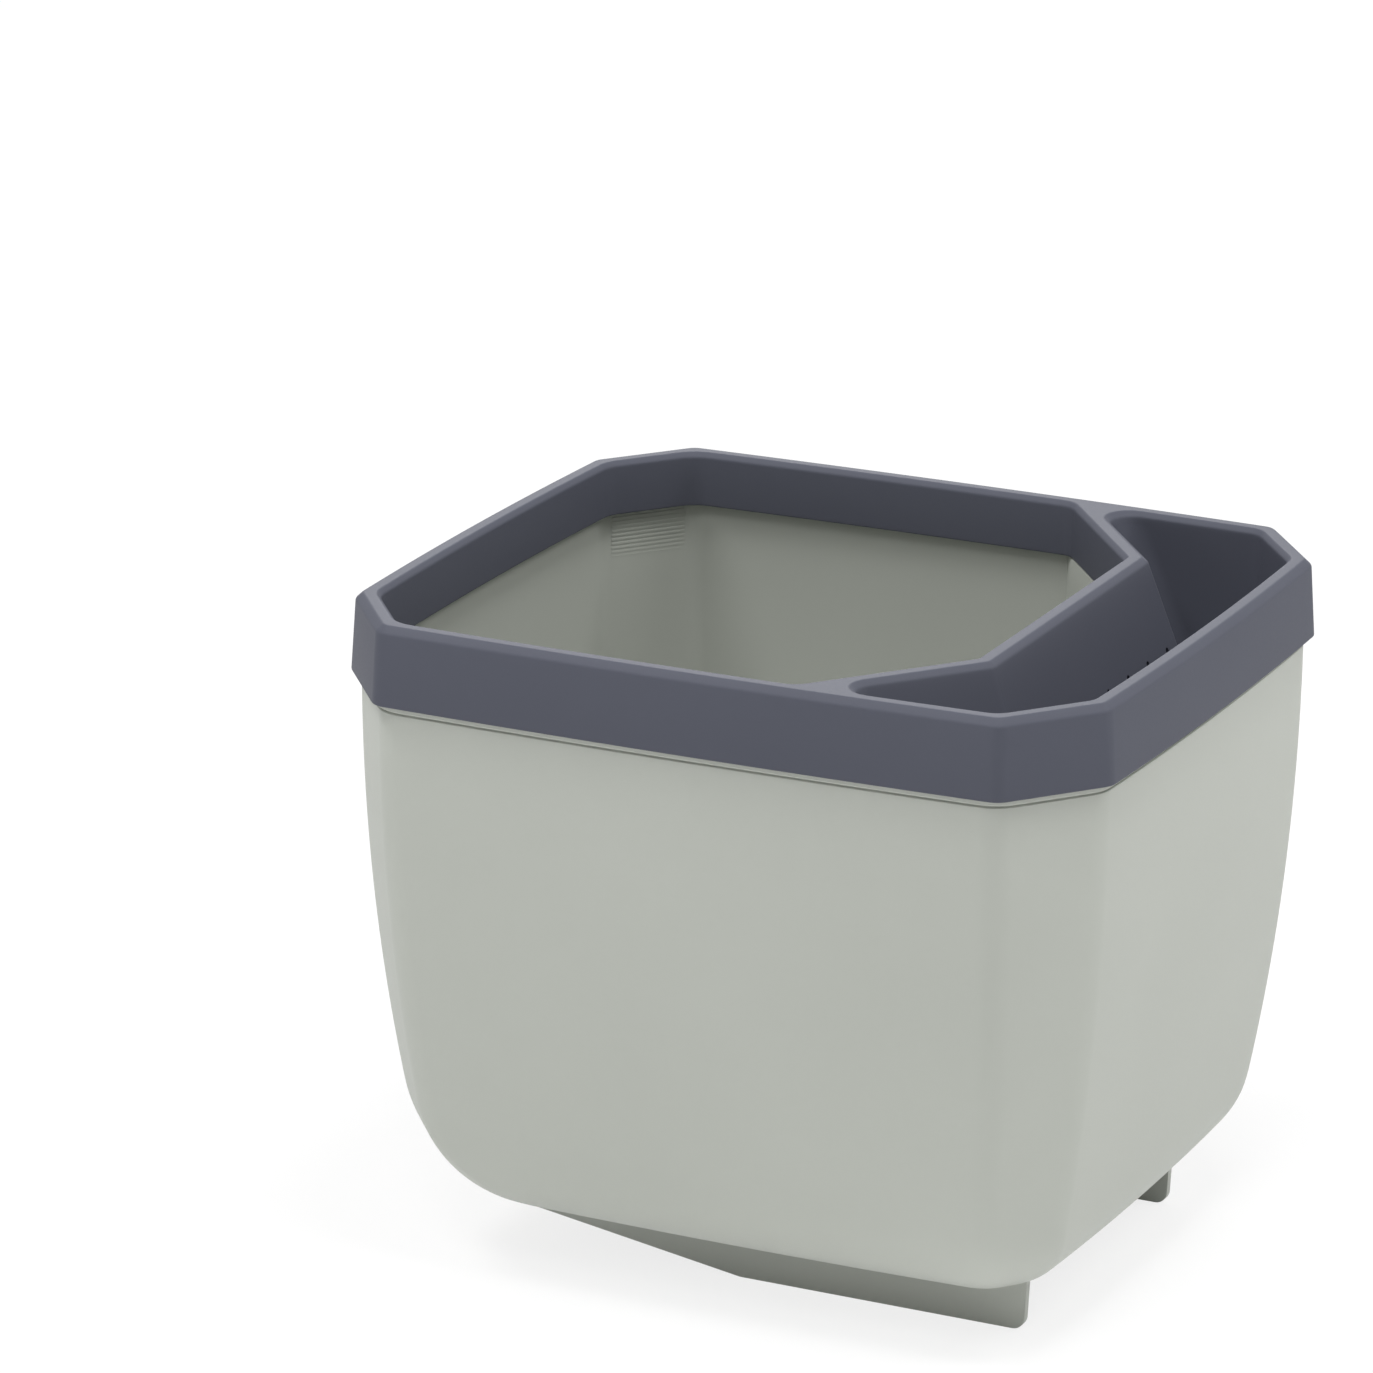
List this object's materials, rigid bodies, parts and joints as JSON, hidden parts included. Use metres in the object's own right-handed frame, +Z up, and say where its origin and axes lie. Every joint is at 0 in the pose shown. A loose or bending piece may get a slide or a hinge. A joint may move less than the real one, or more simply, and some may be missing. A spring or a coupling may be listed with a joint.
{
  "type": "indoor herb planter",
  "caption": "Eight-sided planter tub with a dark cap frame, a leaning watering hopper beside the plant opening, and thin rocking runners under the base.",
  "frame": {"origin": "on the ground under the middle of the footprint", "axes": "+X along the long front towards the watering hopper, -Y towards the long front face, +Z up"},
  "size_m": [0.2054, 0.182, 0.17],
  "materials": {
    "pale_plastic": "moulded satin, pale grey-green",
    "slate_plastic": "moulded satin, slate blue-grey",
    "grey_felt": "needle-punched felt",
    "pale_felt": "woven wick felt",
    "seal_rubber": "soft moulded rubber"
  },
  "bodies": {
    "tub": {"planter_tub": "pale_plastic", "front_foot": "pale_plastic", "rear_foot": "pale_plastic", "wick_seal": "seal_rubber", "wick": "pale_felt"},
    "cap": {"rim_frame": "slate_plastic", "watering_hopper": "slate_plastic"},
    "mat": {"capillary_mat": "grey_felt"}
  },
  "joints": [
    {"name": "rim_lift", "type": "slide", "parent": "tub", "child": "cap", "axis": [0, 0, 1], "range_m": [0, 0.08]},
    {"name": "mat_lift", "type": "slide", "parent": "tub", "child": "mat", "axis": [0, 0, 1], "range_m": [0, 0.165]}
  ]
}
